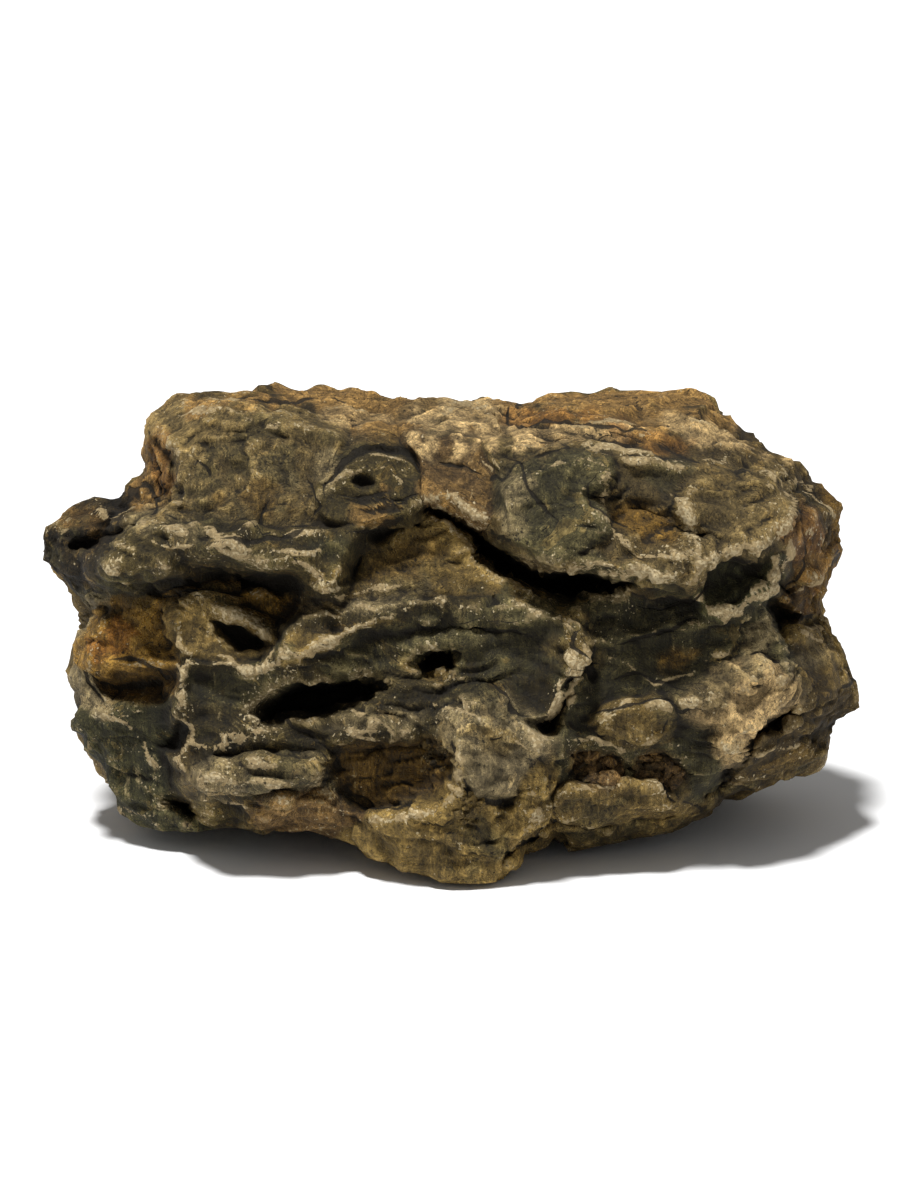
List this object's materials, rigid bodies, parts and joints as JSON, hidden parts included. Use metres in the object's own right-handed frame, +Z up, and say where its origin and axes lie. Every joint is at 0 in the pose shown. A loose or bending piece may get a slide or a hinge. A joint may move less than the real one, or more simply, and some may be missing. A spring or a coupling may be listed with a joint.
{
  "type": "dragon stone",
  "caption": "Weathered clay-rock boulder with ledges, caves and pits, for dressing an aquarium, a terrarium or a rock garden.",
  "frame": {"origin": "on the floor, under the middle of the stone's bounding box", "axes": "+X along the stone's length, to the right as seen from its pitted front; -Y out of the front; +Z up"},
  "size_m": [0.2449, 0.1348, 0.131],
  "materials": {
    "clay_rock": "rough, weathered, matte"
  },
  "bodies": {
    "root": {"dragon_stone": "clay_rock"}
  },
  "joints": []
}
